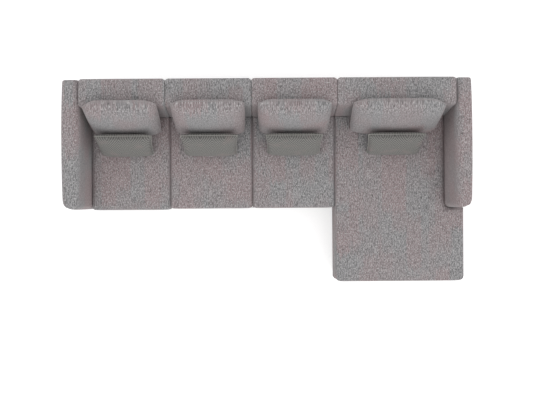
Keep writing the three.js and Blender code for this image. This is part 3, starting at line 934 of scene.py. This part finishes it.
def sewPanels(look, unit):
    low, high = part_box(look["node"] + unit)
    width = (high.x - low.x) * look["overcut"]
    height = look["height"] * look["overcut"]
    droop = look["droop"][unit]
    wider = look["spread"].get(unit, (0.0, 0.0))
    deselectAll()
    bpy.ops.mesh.primitive_grid_add(
        x_subdivisions=round(width / look["step"]), y_subdivisions=round(height / look["step"]),
        size=1, location=((low.x + high.x) / 2, 0, height / 2), rotation=(math.radians(90), 0, 0))
    cushion = bpy.context.object
    cushion.scale = (width, height, 1)
    cushion.name = cushion.data.name = "stuffed_" + look["node"] + unit
    bpy.ops.object.transform_apply(location=True, rotation=True, scale=True)
    for layer in list(cushion.data.uv_layers):
        cushion.data.uv_layers.remove(layer)
    corners = np.empty(len(cushion.data.loops), int)
    cushion.data.loops.foreach_get("vertex_index", corners)
    flat = points(cushion.data)
    rollStep["cut"] += 1
    layer = cushion.data.uv_layers.new(name="cloth")
    layer.data.foreach_set("uv", np.column_stack((
        flat[corners, 0] + rollStep["cut"] * rollStep["across"],
        flat[corners, 2] + rollStep["cut"] * rollStep["along"])).ravel())
    side = (flat[:, 0] - (low.x + high.x) / 2) / (width / 2)
    up = flat[:, 2] / height
    sag = np.clip((np.abs(side) - droopFrom) / (1 - droopFrom), 0, 1) ** 2 * up ** 2
    flat[:, 2] -= sag * np.where(side < 0, droop[0], droop[1])
    flat[:, 0] += sag * np.where(side < 0, -wider[0], wider[1])
    flat[:, 0] -= side * (np.sin(math.pi * up) * look["waist"] + (1 - up) * look["taper"])
    cornered = np.clip((np.abs(side) - tuckFrom) / (1 - tuckFrom), 0, 1)
    flat[:, 2] += cornered ** 2 * (1 - up) ** 2 * look["tuck"]
    setPoints(cushion, flat)
    # A loose filling first, thickest in the middle, which the simulation then rounds and creases
    plump = (1 - np.abs(side) ** look["sides"]) * (1 - np.abs(2 * up - 1) ** look["ends"])
    plump = np.clip(plump, 0, 1)
    filling = cushion.data.attributes.new("filling", "FLOAT", "POINT")
    filling.data.foreach_set("value", plump ** fillRise * look["fill"] * startFill)
    choose(cushion, "EDGE", lambda edge: edge.is_boundary)
    leaveEdit()
    rim = [vertex.index for vertex in cushion.data.vertices if vertex.select]
    cushion.vertex_groups.new(name="seam").add(rim, 1.0, "REPLACE")
    choose(cushion, "FACE", lambda face: True)
    bpy.ops.mesh.extrude_region_move(TRANSFORM_OT_translate={"value": (0, look["band"], 0)})
    bpy.ops.object.vertex_group_remove_from()  # the rear panel's rim is no seam
    faceOut(cushion)
    flat = points(cushion.data)
    filling = np.empty(len(flat))
    cushion.data.attributes["filling"].data.foreach_get("value", filling)
    flat[:, 1] += np.where(flat[:, 1] > look["band"] / 2, filling, -filling)
    setPoints(cushion, flat)
    cushion.data.attributes.remove(cushion.data.attributes["filling"])
    stuff(cushion, look)
    return cushion


def settle(cushion, look, unit):  # gives the swollen form its real fill, lean and place
    low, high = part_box(look["node"] + unit)
    places = points(cushion.data)
    up = (places[:, 2] - places[:, 2].min()) / np.ptp(places[:, 2])
    depth = places[:, 1] - look["band"] / 2
    front = -look["fill"] * look["frontShare"] * np.clip(depth / depth.min(), 0, 1) ** look["full"]
    rear = look["fill"] * (1 - look["frontShare"]) * depth / depth.max()
    places[:, 1] = np.where(depth < 0, front, rear) * (1 + look["heavy"] * (0.5 - up))
    places[:, 2] = up * look["height"]
    lean = Matrix.Rotation(math.radians(-look["tilt"]), 3, "X")
    setPoints(cushion, places @ np.array(lean).T)
    places = points(cushion.data)
    span = places.max(axis=0) - places.min(axis=0)
    front = low.y - look["belly"]
    depth = high.y - look["ahead"] - front
    scale = np.array([1, depth / span[1], (high.z - low.z) / span[2]])
    places = (places - places.min(axis=0)) * scale
    places += np.array((0, front, low.z - look["low"]))
    places[:, 0] += (low.x + high.x) / 2 - np.mean(places[:, 0]) - shiftLeft.get(unit, 0)
    setPoints(cushion, places)


def pressAgainst(piece, others, gap, reach=0.05):  # dents a soft piece where it rests on something
    graph = bpy.context.evaluated_depsgraph_get()
    places = points(piece.data)
    for other in others:
        tree = BVHTree.FromObject(other, graph)
        for i, place in enumerate(places):
            nearest, normal, face, distance = tree.find_nearest(place, reach)
            if nearest is not None and (Vector(place) - nearest).dot(normal) < gap:
                places[i] = nearest + normal * gap
    setPoints(piece, places)


def pipeSeam(cushion, look, unit, material):  # piping all round, along the seam of the front panel
    seam = cushion.vertex_groups["seam"].index
    onSeam = {vertex.index for vertex in cushion.data.vertices
              for share in vertex.groups if share.group == seam and share.weight > 0.99}
    choose(cushion, "EDGE", lambda edge: all(vertex.index in onSeam for vertex in edge.verts))
    bpy.ops.mesh.duplicate_move()
    bpy.ops.mesh.separate(type="SELECTED")
    leaveEdit()
    welt = next(piece for piece in bpy.context.selected_objects if piece != cushion)
    makeActive(welt)
    bpy.ops.object.convert(target="CURVE")
    welt.data.bevel_depth = look["welt"]
    welt.data.bevel_resolution = 1
    bpy.ops.object.convert(target="MESH")
    welt.name = welt.data.name = "piping_" + look["node"] + unit
    welt.vertex_groups.clear()
    return finishPiece(welt, look["body"] + unit, material)


cushions = {unit: sewPanels(looseCushion, unit) for unit in unitNames}
pillows = {unit: sewPanels(lumbarPillow, unit) for unit in unitNames}
print("cushions are sewn")
swellAll()
print("soft pieces are filled")


def sewCover(block, distance):  # rounds the cover and sinks its seam
    applyModifier(block, "SUBSURF", levels=1, render_levels=1)
    pressSeam(block, distance)


def fitCover(block, look, node):
    layCloth(block, look["top"] * shoulderShare)
    finishPiece(block, rootBody, fabric, node)


def mirrorArm(arm):  # the left arm, which is the wider one
    mirrored = arm.copy()
    mirrored.data = arm.data.copy()
    mirrored.name = mirrored.data.name = "fitted_arm_cover_left"
    scene.collection.objects.link(mirrored)
    mirrored.data.transform(Matrix.Scale(-1, 4, (1, 0, 0)))
    places = points(mirrored.data)
    inward = np.clip((places[:, 0] + armHigh.x) / (armHigh.x - armInner), 0, 1)
    places[:, 0] += (chaiseInner - leftInner) * inward
    setPoints(mirrored, places)
    faceOut(mirrored)
    return mirrored


for unit, seat in seats.items():
    node = f"seat_cushion_{unit}"
    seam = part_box(node)[1].z - seatBlock["seam"]
    sewCover(seat, lambda p: p[:, 2] - seam)
    fitCover(seat, seatBlock, node)
for unit, back in backs.items():
    node = f"back_cover_{unit}"
    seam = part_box(node)[1].y - backBlock["seam"]
    sewCover(back, lambda p: p[:, 1] - seam)
    fitCover(back, backBlock, node)
bowOut(rightArm)
sewCover(rightArm, lambda p: p[:, 1] - armLow.y - armBlock["seam"])
leftArm = mirrorArm(rightArm)
fitCover(leftArm, armBlock, "arm_cover_left")
fitCover(rightArm, armBlock, "arm_cover_chaise")
print("seats, backs and arms are covered")

for look, group, material, piping, slot in (
        (looseCushion, cushions, fabric, cushionPipingHighlight, "sofa_fabric"),
        (lumbarPillow, pillows, twill, pillowPipingHighlight, "pillow_fabric")):
    for unit, cushion in group.items():
        settle(cushion, look, unit)
        behind = backs[unit] if look is looseCushion else cushions[unit]
        pressAgainst(cushion, (behind, seats[unit]), hair)
        applyModifier(cushion, "SUBSURF", levels=1, render_levels=1)
        pressAgainst(cushion, (behind, seats[unit]), hair - 0.0001)  # and once more when smooth
        welt = pipeSeam(cushion, look, unit, piping)
        cushion.vertex_groups.clear()
        finishPiece(cushion, look["body"] + unit, material, look["node"] + unit, slot=slot)
print("cushions and pillows are in place")


# Bases: a padded wrap round each frame, hemmed at its lower edge

baseWrap = {"wall": 0.0025, "corner": 0.012, "inset": 0.003, "cuts": 5, "fold": 0.0025}
creased = math.radians(40)  # edges sharper than this stay sharp


def makeBase(unit):
    node = f"base_cover_{unit}"
    low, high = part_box(node)
    low.y += baseWrap["inset"]
    if unit == "chaise":
        low.x += baseWrap["inset"]
        high.x -= baseWrap["inset"]
        inner = -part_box("base_cover_left")[0].x
        block = addBlock("wrapped_" + node, low, Vector((inner, high.y, high.z)))
        widenFront(block, armLow.y - unitGap, Vector((inner, low.y, low.z)), high)
    else:
        block = addBlock("wrapped_" + node, low, high)
    choose(block, "FACE", lambda face: abs(face.normal.z) > 0.9)
    bpy.ops.mesh.delete(type="FACE")
    leaveEdit()
    isFree = lambda e: e.calc_face_angle(0) > 1.2 and middle(e).y < armLow.y - unitGap
    bevelEdges(block, lambda e: upright(e) and isFree(e), baseWrap["corner"], edgeFacets)
    choose(block, "EDGE", lambda e: upright(e) or e.calc_length() > 0.1)
    bpy.ops.mesh.subdivide(number_cuts=baseWrap["cuts"])
    leaveEdit()
    applyModifier(block, "SOLIDIFY", thickness=baseWrap["wall"], offset=-1)
    applyModifier(block, "BEVEL", width=baseWrap["fold"], segments=2, limit_method="ANGLE")
    layCloth(block, 0)
    finishPiece(block, rootBody, fabric, node)
    bpy.ops.object.shade_smooth_by_angle(angle=creased)


for unit in unitNames:
    makeBase(unit)
print("bases are wrapped")


# Dust sheets, cut round at the outer corners so that they stay under the covers

dustSheet = {"hem": 0.014, "corner": 0.090, "cornerFacets": 6}


def hemSheet(unit):
    look = dustSheet
    node = f"dust_sheet_{unit}"
    low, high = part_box(node)
    hem = Vector((look["hem"], look["hem"], 0))
    sheet = addBlock("hemmed_" + node, low + hem, high - hem)
    outer = abs(low.x) if unit == "left" else high.x
    atEnd = lambda e: unit in ("left", "chaise") and abs(middle(e).x) > outer - 0.02
    bevelEdges(sheet, lambda e: upright(e) and atEnd(e), look["corner"], look["cornerFacets"])
    finishPiece(sheet, rootBody, underside, node, slot="dust_cloth")
    bpy.ops.object.shade_smooth_by_angle(angle=creased)


for unit in unitNames:
    hemSheet(unit)
print("dust sheets are hemmed")


# Legs: turned once and copied under each corner

turnedLeg = {
    "sides": 28,
    "glideRadius": 0.012,
    "glideTop": 0.005,
    "footRadius": 0.0128,
    "bellyShare": 0.55,  # how high up the leg its belly is
    "bellyRadius": 0.0185,
    "neckRadius": 0.0205,
    "topRadius": 0.022,
    "stud": 0.004,
}


def turnLeg():
    look = turnedLeg
    low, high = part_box("leg_left_arm_front")
    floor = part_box("base_frame_left")[0].z - 0.002
    rings = [  # heights and radii, from the glide up
        (0.001, look["glideRadius"]),
        (look["glideTop"], look["glideRadius"]),
        (look["glideTop"], look["footRadius"]),
        (look["glideTop"] + 0.002, look["footRadius"] + 0.001),
        (floor * look["bellyShare"], look["bellyRadius"]),
        (floor - 0.014, look["neckRadius"]),
        (floor - 0.011, look["neckRadius"] - 0.002),
        (floor - 0.009, look["neckRadius"] - 0.002),
        (floor - 0.007, look["topRadius"]),
        (floor - 0.001, look["topRadius"]),
        (floor, look["topRadius"] - 0.001),
        (floor, look["stud"]),
        (high.z - 0.002, look["stud"]),
        (high.z, look["stud"] - 0.001),
    ]
    deselectAll()
    bpy.ops.mesh.primitive_circle_add(vertices=look["sides"], radius=look["glideRadius"] - 0.001,
                                      fill_type="NGON", location=(0, 0, 0))
    leg = bpy.context.object
    bpy.ops.object.mode_set(mode="EDIT")
    bpy.ops.mesh.select_all(action="SELECT")
    height, radius = 0.0, look["glideRadius"] - 0.001
    for ringHeight, ringRadius in rings:
        rise = (0, 0, ringHeight - height)
        bpy.ops.mesh.extrude_region_move(TRANSFORM_OT_translate={"value": rise})
        share = ringRadius / radius
        bpy.ops.transform.resize(value=(share, share, 1), center_override=(0, 0, ringHeight))
        height, radius = ringHeight, ringRadius
    faceOut(leg)
    for material in (legWood, glide, steel):
        leg.data.materials.append(material)
    for face in leg.data.polygons:
        if face.center.z < look["glideTop"]:
            face.material_index = 1
        elif face.center.z > floor + 0.001:
            face.material_index = 2
    bpy.ops.object.shade_smooth_by_angle(angle=math.radians(35))
    return leg


pattern = turnLeg()
for node in [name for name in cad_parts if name.startswith("leg_")]:
    low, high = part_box(node)
    leg = pattern.copy()
    leg.data = pattern.data.copy()
    leg.name = leg.data.name = "turned_" + node
    scene.collection.objects.link(leg)
    leg.data.transform(Matrix.Translation(((low.x + high.x) / 2, (low.y + high.y) / 2, 0)))
    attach(leg, rootBody)
    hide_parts(node)
bpy.data.objects.remove(pattern)
print("legs are turned")


# The frames, webbing and joining plates keep their own shapes

finishes = {"base_frame": pine, "back_frame": pine, "arm_frame": pine, "seat_webbing": strap,
            "joining_plate": steel}
for name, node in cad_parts.items():
    for start, material in finishes.items():
        if name.startswith(start):
            node.material_slots[0].material = material
print("frames and straps are finished")
